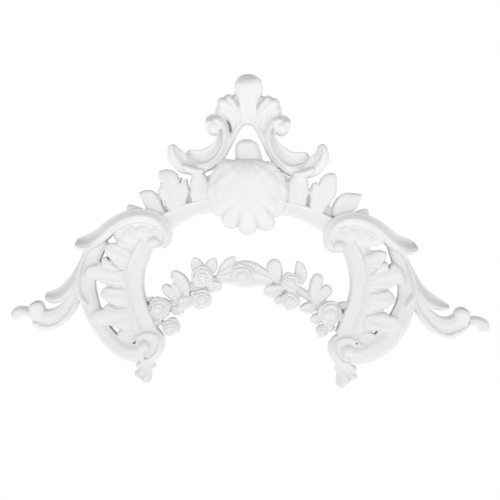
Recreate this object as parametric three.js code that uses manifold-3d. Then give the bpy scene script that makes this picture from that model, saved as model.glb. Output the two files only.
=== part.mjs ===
// Corner ornament for a ceiling: a pierced relief, cast in one piece, with a flat back.
// Millimetres, +Z up, +X to the right. The carving rises towards -Y from the back at Y = 0.
// The origin is on the back, behind the middle of the shell.
import * as THREE from "three";
import { mergeVertices } from "three/addons/utils/BufferGeometryUtils.js";
import Module from "manifold-3d";

// Driving dimensions
const WIDTH = 605; // tip of the left wing to tip of the right wing
const SHELL_RISE = 45; // back to the crown of the shell, the thickest place
const SCROLL_RISE = 39; // back to the crests of the two big scrolls
const ARCH_RISE = 30; // back to the leaves of the arch
const CREST_RISE = 31; // back to the finial and its bands
const WING_RISE = 24; // back to the wings where they leave the scrolls
const ROSE_RISE = 31; // back to the hearts of the roses
const SPRIG_RISE = 20; // back to the leaves of the garland

// The carving is laid out on a plan whose units run to the right and downwards, so its
// proportions are shares of the width. The plan's own corner lies up and left of the ornament.
const PLAN_WIDTH = 482.8;
const PLAN_ORIGIN = { across: 247, down: 190 };
const UNIT = WIDTH / PLAN_WIDTH;
const BEHIND = 3; // each member runs on this far behind the back, and is cut off flat there

const wasm = await Module();
wasm.setup();

// Turns a closed geometry into a solid that can be joined and cut
function solidOf(geometry) {
  geometry.deleteAttribute("normal");
  geometry.deleteAttribute("uv");
  const merged = mergeVertices(geometry, 1e-4);
  return new wasm.Manifold(
    new wasm.Mesh({
      numProp: 3,
      vertProperties: new Float32Array(merged.attributes.position.array),
      triVerts: new Uint32Array(merged.index.array),
    }),
  );
}

// Turns a solid back into a geometry with flat faces
function geometryOf(solid) {
  const mesh = solid.getMesh();
  const geometry = new THREE.BufferGeometry();
  geometry.setAttribute("position", new THREE.BufferAttribute(mesh.vertProperties, 3));
  geometry.setIndex(new THREE.BufferAttribute(mesh.triVerts, 1));
  const flat = geometry.toNonIndexed();
  flat.computeVertexNormals();
  return flat;
}

function onPlan(across, down) {
  return new THREE.Vector3((across - PLAN_ORIGIN.across) * UNIT, 0, (PLAN_ORIGIN.down - down) * UNIT);
}

// Sections across a member, from its right edge at -1 to its left edge at +1, as someone walking
// along it sees them: [place, share of the rise]
const PLAIN = [[-1, 1], [1, 1]];
const ROUND = [[-1, 0.5], [-0.55, 0.9], [0.55, 0.9], [1, 0.5]];
const LEAF = [[-1, 0.66], [-0.5, 0.92], [0, 1], [0.5, 0.92], [1, 0.66]];
const BLADE = [[-1, 0.62], [0, 1], [1, 0.62]];
const BROAD = [[-1, 0.66], [-0.4, 1], [0.4, 1], [1, 0.66]];
const FLAT = [[-1, 0.62], [-0.74, 1], [0.74, 1], [1, 0.62]];
const CHANNEL = [[-1, 0.62], [-0.84, 0.86], [-0.3, 0.7], [0.36, 0.72], [0.78, 1], [1, 0.6]];
const MOULDED = [[-1, 0.74], [-0.72, 1], [-0.3, 0.84], [0.2, 0.96], [0.6, 0.86], [1, 0.7]];
const SPATULA = [[-1, 0.66], [-0.8, 0.98], [-0.36, 0.84], [0, 0.88], [0.36, 0.84], [0.8, 0.98], [1, 0.66]];
const RIM = [[-1, 0.34], [-0.5, 0.62], [0.1, 0.92], [0.62, 1], [1, 0.84]];
const BAR = [[-1, 0.76], [-0.84, 1], [-0.6, 0.86], [0.2, 0.94], [1, 0.72]];
const turned = (section) => section.map(([place, share]) => [-place, share]).reverse();
const facing = (section, side) => (side.isRight ? turned(section) : section);

// A carved member: stations [across, down, half width, share of the rise] along its middle line,
// lofted with one section in a number of steps
function member(stations, section, rise, steps) {
  const slab = new THREE.BoxGeometry(1, 1, 1, section.length - 1, 1, steps);
  const line = new THREE.CatmullRomCurve3(stations.map(([across, down]) => onPlan(across, down)));
  const girth = new THREE.CatmullRomCurve3(
    stations.map(([, , half, share]) => new THREE.Vector3(half, share, 0)),
  );
  const position = slab.attributes.position;
  for (let i = 0; i < position.count; i++) {
    const t = position.getZ(i) + 0.5;
    const [place, share] = section[Math.round((position.getX(i) + 0.5) * (section.length - 1))];
    const middle = line.getPoint(t);
    const along = line.getTangent(t);
    const size = girth.getPoint(t);
    const reach = place * size.x * UNIT;
    const isFront = position.getY(i) > 0;
    position.setXYZ(
      i,
      middle.x - along.z * reach,
      isFront ? -rise * size.y * share : BEHIND,
      middle.z + along.x * reach,
    );
  }
  return solidOf(slab);
}

// A leaf lobe from its root to its round tip. Its middle line may bow to the left of the way it
// grows, by a number of plan units, or to the right if that is negative.
const LOBE = [[0, 0.8, 0.86], [0.46, 0.98, 0.98], [0.84, 0.96, 1], [1, 0.44, 0.8]];
function lobe([rootAcross, rootDown], [tipAcross, tipDown], half, bow = 0, rise, section = LEAF) {
  const [across, down] = [tipAcross - rootAcross, tipDown - rootDown];
  const length = Math.hypot(across, down);
  const stations = LOBE.map(([t, width, share]) => {
    const aside = (bow * 4 * t * (1 - t)) / length;
    return [rootAcross + across * t + down * aside, rootDown + down * t - across * aside, half * width,
      share];
  });
  return member(stations, section, rise, LOBE.length - 1);
}

// A round form about a point of the plan: profile [share of the radius, share of the rise] from
// its crown out to its edge, and a swell that pushes the outline in and out by bearing
function dome([across, down], radius, rise, profile, sides, swell = () => 1) {
  const edge = profile.at(-1)[0];
  const points = [[0, profile[0][1]], ...profile, [edge, -BEHIND / rise], [0, -BEHIND / rise]];
  const lathe = new THREE.LatheGeometry(points.map(([out, up]) => new THREE.Vector2(out, up)), sides);
  const middle = onPlan(across, down);
  const position = lathe.attributes.position;
  for (let i = 0; i < position.count; i++) {
    const [x, up, z] = [position.getX(i), position.getY(i), position.getZ(i)];
    const reach = radius * UNIT * swell(Math.atan2(-z, x), Math.hypot(x, z));
    position.setXYZ(i, middle.x + x * reach, -up * rise, middle.z + z * reach);
  }
  return solidOf(lathe);
}

const EYE = [[0.5, 0.97], [1, 0.7]];
const eye = ([across, down, radius], rise) => dome([across, down], radius, rise, EYE, 9);

// The crest: a finial like a spatula and, on each side of it, a leaf, a strand that edges the
// opening below, and a hollow band that rolls into an eye above and forks into two tips below
const FINIAL = [
  [248, 123, 7, 0.8], [248, 112, 7.8, 0.86], [248, 100, 10.8, 0.94], [247.8, 90, 14.8, 1],
  [247.2, 82.6, 14.8, 0.94], [246.9, 76, 11, 0.76], [246.7, 71.8, 5.4, 0.52],
];
const TONGUE = [[248, 170, 15.8, 1], [247.8, 156, 14.8, 1], [247, 146, 12.6, 0.96], [246.6, 138.6, 6.8,
  0.72]];
const CREST_SIDES = [
  {
    bigLeaf: [[237.6, 130, 2.4, 0.7], [234.6, 122, 5.6, 0.76], [230, 112.6, 8.4, 0.84], [225, 104, 9.8,
      0.9],
      [218.4, 102.6, 8.6, 0.8], [213.8, 103.4, 5, 0.62]],
    smallLeaf: [[238, 118, 3.4, 0.76], [236, 106, 5, 0.86], [231.6, 93.6, 3.8, 0.72]],
    strand: [[240.6, 110, 4, 0.74], [238.4, 122, 3.4, 0.74], [233.2, 133, 3.2, 0.76], [227.6, 144, 3, 0.8],
      [223, 154, 3, 0.8]],
    band: [[208.4, 119.4, 2.4, 0.8], [213.4, 116, 3.8, 0.94], [220, 117.8, 5.8, 0.98], [224.6, 126,
      6.4, 0.96],
      [224, 136, 7.4, 0.9], [220.4, 146.6, 8.6, 0.86], [212, 155.6, 9.8, 0.86], [202.6, 158.8, 9.6, 0.84],
      [193.6, 154.6, 7.4, 0.76], [186.4, 149.6, 3.4, 0.62]],
    tip: [[209, 166, 4.4, 0.86], [196, 167.4, 6.4, 0.86], [182.6, 162.6, 9.8, 0.84], [175, 152.6, 9.2, 0.8],
      [172.4, 143.6, 3.6, 0.6]],
    eye: [212.2, 127.6, 7.4],
    isRight: false,
  },
  {
    bigLeaf: [[257.6, 130, 2.4, 0.7], [260.6, 122.4, 5.6, 0.76], [265.4, 113.2, 8.4, 0.84], [270.6,
      105, 9.6, 0.9],
      [277.6, 104.4, 8.2, 0.8], [282.6, 106.6, 4.8, 0.62]],
    smallLeaf: [[257.4, 118, 3.4, 0.76], [259.6, 106, 5, 0.86], [265, 94.6, 3.8, 0.72]],
    strand: [[255.6, 110, 4, 0.74], [258, 122, 3.4, 0.74], [262, 133.5, 3.2, 0.76], [266.4, 144, 3, 0.8],
      [271, 155, 3, 0.8]],
    band: [[287, 120.6, 2.4, 0.8], [281.4, 116.8, 3.8, 0.94], [274.4, 118, 5.8, 0.98], [269.2, 126,
      6.4, 0.96],
      [268.4, 136, 7.2, 0.9], [273, 147, 8.6, 0.86], [282, 157, 9.8, 0.86], [292.6, 161.8, 9.8, 0.84],
      [302.4, 157, 7.4, 0.76], [309.6, 151.8, 3.4, 0.62]],
    tip: [[286, 168.4, 4.4, 0.86], [299, 171.4, 6.6, 0.86], [313.6, 166.6, 9.6, 0.84], [321.8, 155.8,
      9.2, 0.8],
      [320.8, 143.4, 3.4, 0.6]],
    eye: [283.4, 128.2, 7.4],
    isRight: true,
  },
];
function crest() {
  return [
    member(FINIAL, SPATULA, CREST_RISE, 7),
    member(TONGUE, FLAT, 0.75 * CREST_RISE, 3),
    ...CREST_SIDES.flatMap((side) => [
      member(side.bigLeaf, LEAF, CREST_RISE, 6),
      member(side.smallLeaf, ROUND, CREST_RISE, 3),
      member(side.strand, BLADE, CREST_RISE, 4),
      member(side.band, facing(CHANNEL, side), CREST_RISE, 11),
      member(side.tip, facing(CHANNEL, side), CREST_RISE, 6),
      eye(side.eye, CREST_RISE),
    ]),
  ];
}

// The shell: a dome whose edge runs out in lobes, [bearing in degrees clockwise from the right,
// reach]. The lobes below are cut deep and turn up at their ends, and the rest are shallow.
const SHELL_MIDDLE = [247, 188];
const SHELL_LOBES = [
  [-41, 35], [-17, 38.6], [7, 40.6], [34, 44], [59, 48.6], [89, 47.4],
  [119, 45.4], [145, 43], [171, 40.6], [197, 38], [229, 37], [270, 27.6], [319, 35],
];
const SHELL_PROFILE = [[0.38, 1], [0.68, 0.9], [0.86, 0.68], [1, 0.56]];
function shellReach(angle) {
  const first = SHELL_LOBES[0][0];
  const bearing = ((THREE.MathUtils.radToDeg(angle) - first + 720) % 360) + first;
  const next = Math.max(1, SHELL_LOBES.findIndex(([place]) => place >= bearing));
  const [[from, near], [to, far]] = [SHELL_LOBES[next - 1], SHELL_LOBES[next]];
  const share = (bearing - from) / (to - from);
  const isDeep = from > 30 && to < 150;
  const notch = (isDeep ? 0.22 : 0.04) * Math.sin(Math.PI * share) ** 6;
  return (near + (far - near) * share) * (1 - notch);
}
const shell = () => [dome(SHELL_MIDDLE, 1, SHELL_RISE, SHELL_PROFILE, 48, shellReach)];

// The arch: a moulded band on each side of the shell, with upright leaves along its top, each
// [root, tip, half width, bow]
const ARCH_BANDS = [
  [[218, 204, 6.4, 0.86], [203, 206, 6.7, 0.86], [192, 209.3, 7.2, 0.86], [182, 213.5, 8, 0.86],
    [172, 217.8, 8.8, 0.86], [162, 223, 9, 0.86]],
  [[333, 227, 9, 0.86], [322, 221.5, 8.8, 0.86], [312, 216.5, 8, 0.86], [302, 212, 7.2, 0.86],
    [291, 208.8, 6.7, 0.86], [276, 207.4, 6.4, 0.86]],
];
const ARCH_GROUNDS = [
  [[216, 185, 16, 0.52], [200, 193, 13, 0.5], [180, 200, 13, 0.5], [152, 212, 9, 0.5]],
  [[280, 187, 16, 0.52], [297, 194, 13, 0.5], [317, 202, 13, 0.5], [346, 216, 9, 0.5]],
];
const ARCH_LEAVES = [
  [[194.8, 206], [196, 174], 5.6], [[203, 206], [203, 175.4], 5.6], [[181, 209], [164.6, 170.6], 10.6],
  [[185, 206], [184.6, 176.4], 5.2], [[176, 209], [159.6, 187.4], 6], [[158, 214], [144.4, 192.6], 10,
    -1.6],
  [[144, 213], [126.6, 207], 4],
  [[293.4, 207], [293.6, 175.6], 5.4], [[301.8, 208], [303, 176.6], 5.4], [[314, 213], [330, 173.4], 10.4],
  [[311, 210], [314.4, 182.6], 5.2], [[320, 213], [334.4, 190], 6.4], [[340, 219], [357, 195.4], 10.6, 1.6],
  [[354, 216], [371, 209.8], 4],
];
function arch() {
  return [
    ...ARCH_BANDS.map((band) => member(band, MOULDED, ARCH_RISE, 6)),
    ...ARCH_GROUNDS.map((ground) => member(ground, PLAIN, ARCH_RISE, 3)),
    ...ARCH_LEAVES.map(([root, tip, half, bow]) =>
      lobe(root, tip, half, bow, ARCH_RISE, half > 8 ? LEAF : BLADE)),
  ];
}

// The two big scrolls. Each has a rolled rim that starts under an eye and ends in a flared tip, a
// hollow bowl under the rim, a bar with a fillet, leaf lobes that reach from the bar's web over
// an outer crescent, a thin ridge outside it, and a second eye, ring and leaf drop at the foot.
const SCROLLS = [
  {
    rim: [[161.4, 244.4, 2.6, 0.8], [165.4, 239, 4, 0.9], [166.2, 229.4, 5, 0.96], [159, 219.4, 5.2, 1],
      [147, 213.5, 4.8, 1], [134, 213, 4.6, 1], [121, 217.6, 5, 1], [109.5, 226.2, 5.8, 1],
      [99, 235, 6.8, 0.98], [88, 241.6, 7.6, 0.9], [79, 243.4, 6.6, 0.74], [75, 243.6, 4, 0.6]],
    eye: [155.4, 241, 7],
    bowl: [[161, 233, 9, 0.6], [148, 228, 12.4, 0.58], [135, 228, 12.4, 0.58], [122, 231.4, 9, 0.58],
      [110, 237, 4.4, 0.54]],
    bar: [[147, 240, 7.6, 0.7], [141.4, 252, 9, 0.74], [136.4, 264, 8.8, 0.74], [134.6, 278, 8.6, 0.74],
      [135.2, 292, 8.6, 0.74], [138.6, 306, 8.8, 0.74], [144, 320, 9.2, 0.74], [149, 331, 9, 0.74]],
    web: [[132, 238, 8, 0.56], [126.6, 252, 8, 0.56], [122.4, 266, 8, 0.56], [121, 280, 8, 0.56],
      [122, 294, 8, 0.56], [125.4, 308, 8, 0.56], [131.4, 322, 8, 0.58], [138, 335, 8, 0.6]],
    crescent: [[103, 241, 5.6, 0.6], [94, 253, 8.4, 0.58], [88, 267, 9, 0.58], [85.4, 283, 9.2, 0.58],
      [86.8, 298, 10, 0.6], [91.8, 312.6, 10.8, 0.64], [100, 326, 11, 0.68], [110.4, 337.6, 11.4, 0.72],
      [123.4, 347.2, 11.2, 0.76], [137, 351.4, 10, 0.8], [147, 351.4, 8, 0.8]],
    ridge: [[90, 247, 3, 0.7], [81, 262, 2.6, 0.74], [76.4, 280, 2.6, 0.74], [77.4, 296, 3, 0.72],
      [87, 303, 3, 0.7]],
    lobes: [
      [[127, 254], [106.4, 248.4], 6.4, 1], [[124, 264], [103, 259], 4.4], [[124, 278], [85.6, 273.4],
        8.4, 2],
      [[124, 295], [101.6, 293.6], 7], [[126, 312], [91.6, 317.6], 9.4, -2], [[135, 325], [117, 332], 7.4],
      [[142, 331], [124, 338.6], 5.4],
    ],
    ring: [[137.6, 338.6, 3.2, 0.74], [145.6, 332.2, 4.4, 0.84], [155.6, 333.2, 4.9, 0.86], [160.6,
      341, 4.9, 0.86],
      [158, 350.6, 4.4, 0.82], [151, 357, 3.4, 0.74], [142, 358, 2.6, 0.66]],
    foot: [144.4, 345.4, 6.8],
    plate: [148.4, 344.4, 12],
    drop: [[[145, 360], [137.4, 376.4], 6.8], [[147.4, 362], [146.4, 382.4], 6.4], [[150.6, 359],
      [151.6, 369], 3.2]],
    isRight: false,
  },
  {
    rim: [[334.8, 250, 2.4, 0.8], [330, 245, 3.4, 0.86], [328.8, 237.4, 4.4, 0.9], [332, 228.4, 5.2, 0.96],
      [340.4, 220.6, 5.2, 1], [352, 217.2, 4.8, 1], [364, 219, 4.8, 1], [376, 225, 5.2, 1], [386.4,
        233.2, 5.8, 1],
      [396, 241.8, 7.2, 0.98], [404.6, 245.8, 8.4, 0.9], [411.8, 247, 6.4, 0.74], [416.8, 246.6, 2.6, 0.6]],
    eye: [338.2, 244, 7.2],
    bowl: [[335, 234, 9, 0.6], [348, 229, 12.4, 0.58], [360, 231, 12.4, 0.58], [372, 236.4, 9.4, 0.58],
      [385, 242, 4.4, 0.54]],
    bar: [[347, 240, 6.6, 0.7], [352, 252, 8.4, 0.74], [356.8, 264, 8.6, 0.74], [359.2, 278, 8.4, 0.74],
      [358.8, 292, 8.4, 0.74], [355.6, 307, 8.8, 0.74], [350.4, 320, 9.4, 0.74], [346, 333, 9, 0.74]],
    web: [[361, 238, 8, 0.56], [366.4, 252, 8, 0.56], [370.6, 266, 8, 0.56], [372.4, 280, 8, 0.56],
      [371.6, 294, 8, 0.56], [368, 308, 8, 0.56], [362, 322, 8, 0.58], [355.6, 336, 8, 0.6]],
    crescent: [[393, 249, 4.6, 0.6], [399.4, 261, 6.4, 0.58], [405.4, 274, 7.6, 0.58], [408, 288, 8.4,
      0.58],
      [406.8, 302, 9.2, 0.6], [402.4, 315.4, 10.2, 0.64], [395.4, 328.4, 11, 0.68], [384.8, 340.8,
        11.6, 0.72],
      [371.8, 349.8, 11.4, 0.76], [357, 354, 10.2, 0.8], [347, 354.8, 8.4, 0.8]],
    ridge: [[402, 253, 3, 0.7], [409.6, 268, 2.8, 0.74], [414.6, 284, 2.8, 0.74], [415, 299, 3, 0.72],
      [406.6, 308, 3, 0.7]],
    lobes: [
      [[366, 247], [383.6, 240.6], 6, -1], [[367, 265], [387.4, 255], 7, -1], [[370, 275], [387,
        264.4], 4.6],
      [[368, 285], [403.6, 279.4], 9.2, -3.4], [[368, 300], [396, 299.6], 9], [[366, 317], [397.6,
        322.6], 9.6, 2],
      [[362, 331], [378, 338], 7], [[352, 333], [366, 342], 5.4],
    ],
    ring: [[356.8, 343.6, 3.2, 0.74], [349, 338, 4.4, 0.84], [339, 338.4, 5, 0.86], [332.6, 345, 5, 0.86],
      [333.6, 354, 4.4, 0.82], [340.8, 360.4, 3.4, 0.74], [350, 362.4, 2.6, 0.66]],
    foot: [347.4, 350.2, 7.4],
    plate: [344.6, 349.4, 12],
    drop: [[[347, 362], [345.6, 388.6], 7.6], [[351.6, 364], [356.6, 378.6], 5.4], [[342, 362], [341.6,
      375], 4.8]],
    isRight: true,
  },
];
const PLATE = [[1, 1]];
function scroll(side) {
  const [across, down, radius] = side.plate;
  return [
    member(side.rim, facing(RIM, side), SCROLL_RISE, 14),
    eye(side.eye, 0.95 * SCROLL_RISE),
    member(side.bowl, BLADE, SCROLL_RISE, 5),
    member(side.bar, facing(BAR, side), SCROLL_RISE, 8),
    member(side.web, PLAIN, SCROLL_RISE, 6),
    member(side.crescent, BROAD, SCROLL_RISE, 10),
    member(side.ridge, BLADE, SCROLL_RISE, 5),
    ...side.lobes.map(([root, tip, half, bow]) => lobe(root, tip, half, bow, 0.7 * SCROLL_RISE, BLADE)),
    member(side.ring, BLADE, SCROLL_RISE, 8),
    eye(side.foot, 0.92 * SCROLL_RISE),
    dome([across, down], radius, 0.62 * SCROLL_RISE, PLATE, 8),
    ...side.drop.map(([root, tip, half]) => lobe(root, tip, half, 0, 0.5 * SCROLL_RISE, BLADE)),
  ];
}

// The wings: two hollow strands that leave each scroll, the lower one with a knob and a curl
const WINGS = [
  {
    upper: [[83, 253, 2, 0.9], [77.4, 267.4, 3.2, 0.9], [71, 281, 4.6, 0.86], [62.4, 292.4, 6.2, 0.8],
      [53, 297.4, 6.2, 0.72], [45.6, 296.8, 4.4, 0.6]],
    lower: [[75, 292, 4.4, 0.9], [70.8, 302.6, 6.6, 0.88], [62.8, 312.4, 8.6, 0.84], [52, 318.8, 10.4, 0.8],
      [40.4, 319.8, 10.8, 0.76], [30.6, 316.2, 7.4, 0.66]],
    knob: [[38.6, 318], [33.8, 301.6], 8],
    curl: [[29.4, 313.4, 3.8, 0.62], [22, 311.4, 4.6, 0.62], [15.4, 313, 5.4, 0.6], [11.8, 319.6, 4, 0.5]],
    isRight: false,
  },
  {
    upper: [[403, 253.6, 3.4, 0.9], [409.6, 267.6, 3.6, 0.9], [415, 280, 4.6, 0.86], [422, 291.6, 5.8,
      0.84],
      [431, 301.2, 7, 0.8], [441, 306.6, 6.2, 0.7], [449.6, 307, 3, 0.56]],
    lower: [[416, 296, 4.4, 0.9], [421.6, 309, 6.2, 0.88], [431, 319.6, 8.2, 0.84], [441.6, 327, 10, 0.8],
      [453, 327.8, 11, 0.78], [463.6, 321.6, 10.4, 0.74], [471, 318.4, 7, 0.66]],
    knob: [[460, 325], [464.4, 307.6], 8.6],
    curl: [[471.6, 322.4, 4.2, 0.62], [478.6, 321.8, 4.6, 0.62], [485.2, 325.4, 5.6, 0.6], [485.6,
      332.4, 4.6, 0.5]],
    isRight: true,
  },
];
function wing(side) {
  const [root, tip, half] = side.knob;
  return [
    member(side.upper, facing(CHANNEL, side), WING_RISE, 7),
    member(side.lower, facing(CHANNEL, side), WING_RISE, 7),
    lobe(root, tip, half, 0, 0.86 * WING_RISE),
    member(side.curl, BLADE, WING_RISE, 5),
  ];
}

// The garland: a vine between the two bars and the calyx of the middle rose, with roses
// [across, down, radius, turn in radians], buds and small leaves on them
const VINE = [
  [147, 303, 4, 0.7], [160, 309, 8, 0.7], [172, 307, 7, 0.7], [182, 296, 5, 0.7], [192, 286, 6, 0.7],
  [204, 286, 8, 0.7], [216, 280, 5, 0.7], [230, 278, 6, 0.7], [245, 277, 9, 0.7], [260, 276, 7, 0.7],
  [273, 278, 5, 0.7], [286, 288, 7, 0.7], [299, 291, 5, 0.7], [311, 298, 5, 0.7], [322, 306, 8, 0.7],
  [336, 311, 6, 0.7], [348, 304, 3, 0.7],
];
const CALYX = [[216, 276.6, 2.6, 0.8], [226, 278, 7.4, 0.9], [239, 274.6, 13.2, 1], [252, 274.4, 13.2, 1],
  [264, 276.4, 9, 0.9], [273, 279, 4, 0.8]];
const ROSES = [
  [159.2, 308.6, 12, 0], [172, 325.4, 9.4, 0.5], [203, 277, 12, 0.3], [201.4, 298, 11, 0.9],
  [243, 275.4, 12.8, 0.2], [291, 281.6, 11, 0.6], [291, 300.4, 11, 0.1], [329.4, 313.4, 13, 0.7],
];
const BUDS = [[157.6, 320.6, 6.6], [321.4, 331.8, 6.8], [329.6, 327, 5.6]];
const SPRIGS = [
  [[157, 304], [144.6, 299], 4], [[171, 299], [163.4, 283.6], 5], [[174, 298], [172.4, 283.6], 4],
  [[183, 296], [170, 273.6], 6, 4], [[200, 270], [193.8, 258.6], 5], [[208, 270], [214.4, 259], 5],
  [[208, 283], [219, 291], 5.4], [[193, 300], [179.6, 303.6], 6.4], [[172, 310], [183.4, 313.4], 5],
  [[222, 279], [233, 257.4], 6.6], [[277, 279], [272.6, 260], 6.8], [[299, 281], [298.4, 262], 5.2, 2],
  [[284, 300], [275, 301.6], 5], [[282, 287], [264.6, 293.6], 6], [[315, 299], [319.4, 275], 6.2],
  [[318, 303], [331, 287.4], 6], [[315, 305], [299.6, 310.4], 5.4], [[336, 308], [348.4, 303.6], 4.4],
  [[321, 317], [310.6, 322.4], 5.2],
];
const ROSE = [[0.3, 1], [0.42, 0.76], [0.6, 0.9], [0.72, 0.66], [1, 0.6]];
const PETALS = 5;
function rose([across, down, radius, turn]) {
  const petals = (angle, out) => (out < 0.5 ? 1 : 1 + 0.04 * Math.cos(PETALS * (angle + turn)));
  return dome([across, down], radius, ROSE_RISE, ROSE, 2 * PETALS, petals);
}
function garland() {
  return [
    member(VINE, PLAIN, SPRIG_RISE, 14),
    member(CALYX, BROAD, SPRIG_RISE, 5),
    ...ROSES.map(rose),
    ...BUDS.map((place) => eye(place, 0.85 * ROSE_RISE)),
    ...SPRIGS.map(([root, tip, half, bow]) => lobe(root, tip, half, bow, SPRIG_RISE, BLADE)),
  ];
}

// One casting: everything joined, then cut off flat at the back. Where members meet, edges too
// short to matter are closed up.
const SHORTEST_EDGE = 0.02;
function casting() {
  const members = [
    ...crest(), ...shell(), ...arch(), ...SCROLLS.flatMap(scroll), ...WINGS.flatMap(wing), ...garland(),
  ];
  const joined = members.reduce((whole, next) => whole.add(next));
  const wall = new THREE.BoxGeometry(2 * WIDTH, 10 * BEHIND, 2 * WIDTH);
  wall.translate(0, 5 * BEHIND, 0);
  return joined.subtract(solidOf(wall)).simplify(SHORTEST_EDGE);
}

const plaster = new THREE.MeshStandardMaterial({ color: 0xf1f1ef, roughness: 0.62, metalness: 0 });
const ornament = new THREE.Mesh(geometryOf(casting()), plaster);
ornament.name = "ornament";

const part = new THREE.Group();
part.add(ornament);
export default part;
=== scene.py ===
"""Corner ornament for a ceiling: one pierced casting, carved in rococo style, in dry white plaster."""
import math

import bmesh
import bpy
from mathutils import Matrix, Vector


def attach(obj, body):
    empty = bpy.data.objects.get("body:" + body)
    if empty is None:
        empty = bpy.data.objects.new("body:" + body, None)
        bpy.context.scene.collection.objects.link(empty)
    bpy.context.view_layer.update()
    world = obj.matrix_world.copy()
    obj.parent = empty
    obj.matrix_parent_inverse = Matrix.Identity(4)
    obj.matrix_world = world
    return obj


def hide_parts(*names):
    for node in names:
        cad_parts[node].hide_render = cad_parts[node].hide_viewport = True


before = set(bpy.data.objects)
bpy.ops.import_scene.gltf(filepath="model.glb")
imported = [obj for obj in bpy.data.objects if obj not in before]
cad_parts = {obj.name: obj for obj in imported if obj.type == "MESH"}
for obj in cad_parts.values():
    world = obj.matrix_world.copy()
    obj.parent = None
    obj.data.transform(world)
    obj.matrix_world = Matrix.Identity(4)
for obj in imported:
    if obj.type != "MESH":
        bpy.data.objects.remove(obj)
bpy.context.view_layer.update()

# The crest: a finial like a spatula, its tongue-shaped root behind, and on each side four small
# leaves, a strand, and a band that rolls into an eye above and ends in an upturned tip below. Like
# all the carving, it is modelled as members that run into each other and are cast as one.
UNIT = 0.605 / 482.8  # metres to one unit of the plan, which runs to the right and downwards
MIDDLE = (247, 190)  # the plan's point that lies at the frame's origin, behind the shell
CREST_RISE = 0.031
FINE = 1.0  # millimetres between the rows of a member, before casting
AHEAD = 0.004  # how far along a member its direction is measured, as a share of its length
THINNEST = 0.04  # the least share of its width that a member keeps at a rounded end

casting = bmesh.new()


def add_to_casting(form):
    """Adds one closed form to the casting."""
    bmesh.ops.recalc_face_normals(form, faces=form.faces)
    mesh = bpy.data.meshes.new("form")
    form.to_mesh(mesh)
    form.free()
    casting.from_mesh(mesh)
    bpy.data.meshes.remove(mesh)


def ease(share):
    """Eases a share between 0 and 1, so that it starts and ends level."""
    share = min(1, max(0, share))
    return share * share * (3 - 2 * share)


def hills(points, place):
    """A smooth line through points (place, height) that is level at each of them."""
    for (a, low), (b, high) in zip(points, points[1:]):
        if place <= b:
            return low + (high - low) * ease((place - a) / (b - a))
    return points[-1][1]


def station(stations, t):
    """Where a member is at the share t of its length: across, down, half width, share of rise."""
    spot = min(max(t, 0), 1) * (len(stations) - 1)
    i = min(int(spot), len(stations) - 2)
    s = spot - i
    a, b, c, d = (stations[min(max(k, 0), len(stations) - 1)] for k in range(i - 1, i + 3))
    if i == 0:
        a = [2 * p - q for p, q in zip(b, c)]
    if i == len(stations) - 2:
        d = [2 * q - p for p, q in zip(b, c)]
    return [
        0.5 * (2 * q + (r - p) * s + (2 * p - 5 * q + 4 * r - w) * s**2 + (3 * q - p - 3 * r + w) * s**3)
        for p, q, r, w in zip(a, b, c, d)
    ]


def carve(stations, profile, rise, nose=(0, 0), columns=18):
    """Adds a member that follows its stations. profile(u, t) gives the share of the rise at the
    place u across it, from -1 on the right to 1 on the left of someone walking along it, and nose
    gives how far its two ends are rounded, in half widths."""
    length = sum(math.dist(p[:2], q[:2]) for p, q in zip(stations, stations[1:]))
    rows = max(6, round(length * UNIT * 1000 / FINE))
    form = bmesh.new()
    bmesh.ops.create_grid(form, x_segments=columns, y_segments=rows, size=1)
    for vertex in form.verts:
        u, t = vertex.co.x, (vertex.co.y + 1) / 2
        x, down, half, share = station(stations, t)
        x0, down0 = station(stations, t - AHEAD)[:2] if t > AHEAD else (x, down)
        x1, down1 = station(stations, t + AHEAD)[:2] if t < 1 - AHEAD else (x, down)
        run = math.hypot(x1 - x0, down1 - down0)
        narrow = 1
        for gone, blunt in ((t, nose[0]), (1 - t, nose[1])):
            if blunt:
                reach = max(0.001, gone * length / (blunt * half))
                if reach < 1:
                    narrow *= math.sqrt(1 - (1 - reach) ** 2)
        side = u * half * max(narrow, THINNEST)
        x += (down1 - down0) / run * side
        down -= (x1 - x0) / run * side
        height = rise * share * profile(u, t) * (0.5 + 0.5 * narrow)
        vertex.co = ((x - MIDDLE[0]) * UNIT, -height, (MIDDLE[1] - down) * UNIT)
    close_behind(form)
    add_to_casting(form)


def close_behind(form):
    """Runs the edge of an open form straight back to the flat back, and closes it there."""
    edges = [edge for edge in form.edges if edge.is_boundary]
    made = bmesh.ops.extrude_edge_only(form, edges=edges)["geom"]
    for vertex in (item for item in made if isinstance(item, bmesh.types.BMVert)):
        vertex.co.y = 0
    back = [item for item in made if isinstance(item, bmesh.types.BMEdge) and item.is_boundary]
    bmesh.ops.edgeloop_fill(form, edges=back)


def level_face(u, t):
    """A profile that is level."""
    return 1


def rolled(ridge, ridge_end, floor, lip, foot, crest):
    """A profile with a ridge: a flank falls to the foot on the left of it, and a hollow lies on the
    right of it, deepest close by and rising to the lip. The ridge crosses over along the way."""
    def profile(u, t):
        place = ridge + (ridge_end - ridge) * ease(t)
        if u >= place:
            return 1 - (1 - foot) * ((u - place) / (1 - place)) ** 1.8
        s = (place - u) / (1 + place)
        hollow = floor + (lip - floor) * ease((s - 0.2) / 0.7)
        shoulder = 0.16 * max(0, (s - 0.93) / 0.07) ** 2
        return hollow + (1 - hollow) * math.exp(-((s / crest) ** 2)) - shoulder
    return profile


def handed(side, profile):
    """The profile as it is on the left side, or with its left and right changed over on the right."""
    return profile if side == "left" else lambda u, t: profile(-u, t)


def rounded(u, t):
    """A profile that is rounded across."""
    return 1 - 0.2 * abs(u) ** 2.6


def across(*points):
    """A profile that is the same all along its member."""
    return lambda u, t: hills(points, u)


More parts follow.
